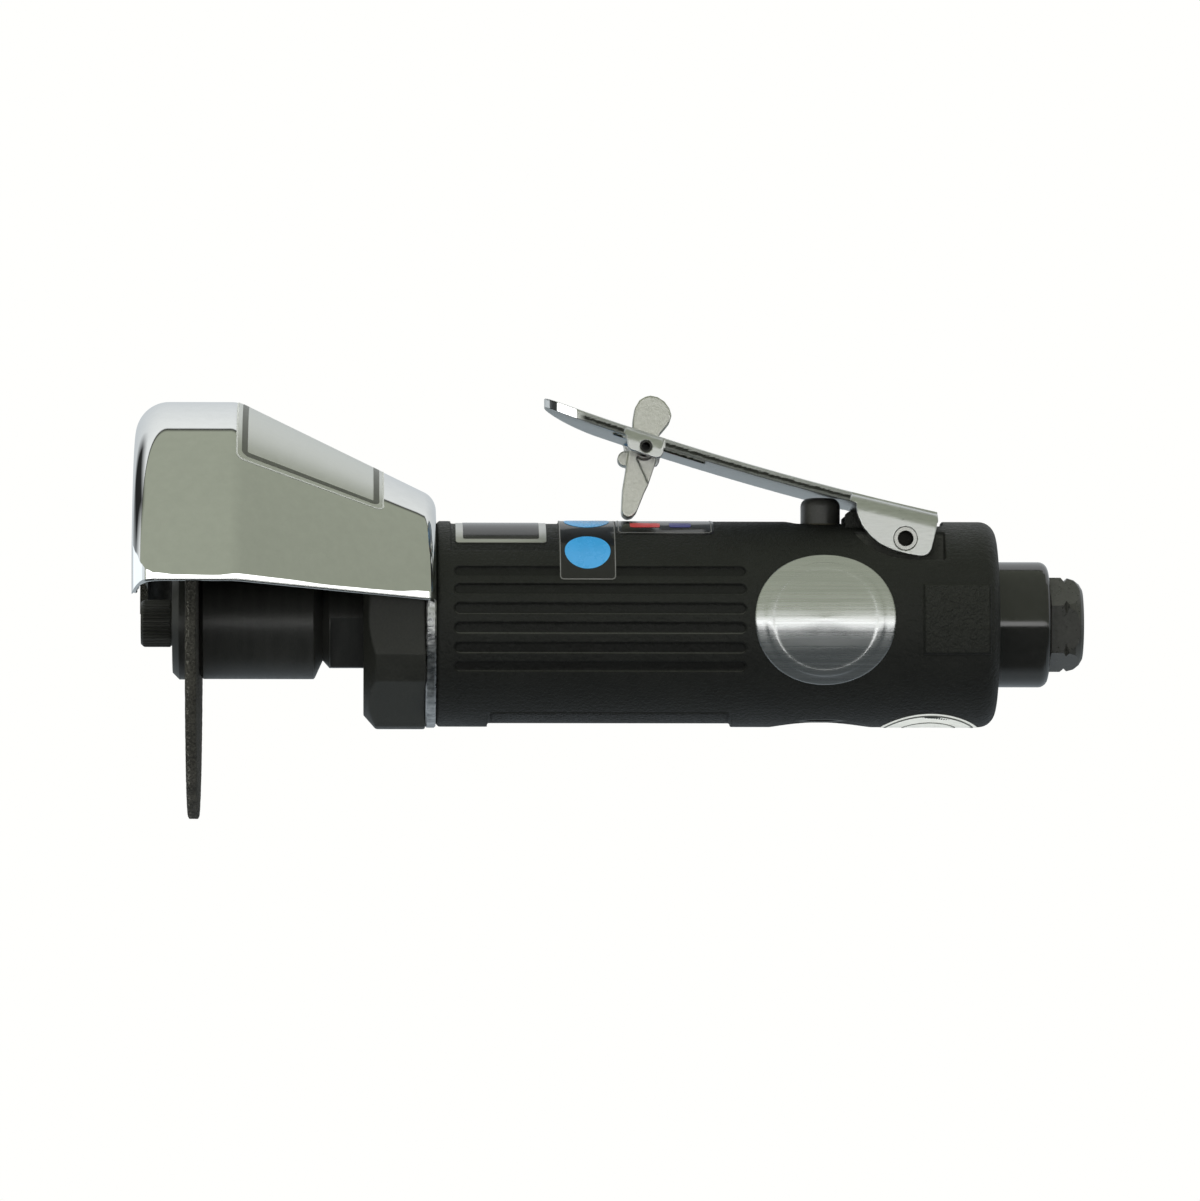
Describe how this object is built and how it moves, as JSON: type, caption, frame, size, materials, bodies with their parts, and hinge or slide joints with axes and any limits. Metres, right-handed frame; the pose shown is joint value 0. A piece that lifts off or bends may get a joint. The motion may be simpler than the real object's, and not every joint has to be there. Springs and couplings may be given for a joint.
{
  "type": "pneumatic cut-off tool",
  "caption": "Hand-held air cut-off grinder: black round handle with a throttle lever and lock-off, a thin abrasive wheel on a clamped hub, and a bright bell-shaped guard.",
  "frame": {"origin": "centre of the air inlet's mouth, on the spindle axis", "axes": "+X along the handle out of the air inlet, +Z towards the throttle lever, +Y to the far side"},
  "size_m": [0.184, 0.085, 0.0824],
  "materials": {
    "cast_housing": "matt textured",
    "black_oxide": "satin black oxide",
    "rubber_seal": "matt",
    "machined_steel": "turned",
    "bearing_steel": "ground",
    "valve_brass": "turned",
    "spring_steel": "drawn wire",
    "inlet_steel": "satin",
    "badge_aluminium": "brushed",
    "vane_plastic": "moulded",
    "hub_steel": "ground dark",
    "abrasive": "gritty",
    "chrome_guard": "polished",
    "lever_nickel": "nickel plated",
    "cast_silver": "as cast",
    "plunger_black": "satin",
    "gloss_black": "polished",
    "felt": "felt"
  },
  "bodies": {
    "handle": {"housing": "cast_housing", "clamp_nut": "black_oxide", "front_seal": "rubber_seal", "front_end_plate": "machined_steel", "cylinder_liner": "machined_steel", "rear_end_plate": "machined_steel", "locating_dowel": "machined_steel", "front_bearing_outer": "bearing_steel", "rear_bearing_outer": "bearing_steel", "valve_bushing": "machined_steel", "valve_seat": "valve_brass", "valve_plug": "black_oxide", "valve_spring": "spring_steel", "inlet_bushing": "inlet_steel", "inlet_screen": "valve_brass", "lever_pin": "spring_steel", "badge": "badge_aluminium"},
    "spindle": {"rotor": "machined_steel", "rotor_vane_1": "vane_plastic", "rotor_vane_2": "vane_plastic", "rotor_vane_3": "vane_plastic", "rotor_vane_4": "vane_plastic", "front_bearing_inner": "bearing_steel", "rear_bearing_inner": "bearing_steel", "spindle_hub": "hub_steel", "cutting_wheel": "abrasive", "outer_flange": "hub_steel", "wheel_screw": "black_oxide"},
    "ball_sets": {"front_bearing_balls": "bearing_steel", "rear_bearing_balls": "bearing_steel"},
    "guard": {"wheel_guard": "chrome_guard"},
    "throttle": {"throttle_lever": "lever_nickel", "lock_off_pin": "black_oxide", "lock_off_spring": "spring_steel"},
    "lock_off": {"lock_off_lever": "cast_silver"},
    "valve": {"valve_plunger": "plunger_black", "plunger_o_ring": "rubber_seal", "valve_disc": "valve_brass"},
    "deflector": {"exhaust_deflector": "gloss_black", "muffler_ring": "felt"}
  },
  "joints": [
    {"name": "spindle_spin", "type": "hinge", "parent": "handle", "child": "spindle", "pos_m": [-0.09, 0, 0], "axis": [1, 0, 0], "continuous": true},
    {"name": "ball_set_orbit", "type": "hinge", "parent": "handle", "child": "ball_sets", "pos_m": [-0.09, 0, 0], "axis": [1, 0, 0], "continuous": true},
    {"name": "guard_turn", "type": "hinge", "parent": "handle", "child": "guard", "pos_m": [-0.127, 0, 0], "axis": [1, 0, 0], "continuous": true},
    {"name": "throttle_press", "type": "hinge", "parent": "handle", "child": "throttle", "pos_m": [-0.035, 0, 0.016], "axis": [0, -1, 0], "range_deg": [0, 8], "stiffness_Nm_per_rad": 1, "springref_deg": -17.19},
    {"name": "lock_off_swing", "type": "hinge", "parent": "throttle", "child": "lock_off", "pos_m": [-0.0852, 0, 0.0338], "axis": [0, 1, 0], "range_deg": [0, 80.5]},
    {"name": "valve_stroke", "type": "slide", "parent": "handle", "child": "valve", "axis": [0, 0, -1], "range_m": [0, 0.0024], "deforming": ["valve_spring"]},
    {"name": "deflector_turn", "type": "hinge", "parent": "handle", "child": "deflector", "pos_m": [-0.012, 0, 0], "axis": [1, 0, 0], "continuous": true}
  ],
  "couplings": [
    {"joint": "ball_set_orbit", "follows": "spindle_spin", "ratio": 0.368},
    {"joint": "lock_off_swing", "follows": "throttle_press", "ratio": 10},
    {"joint": "valve_stroke", "follows": "throttle_press", "m_per_rad": 0.0165}
  ]
}
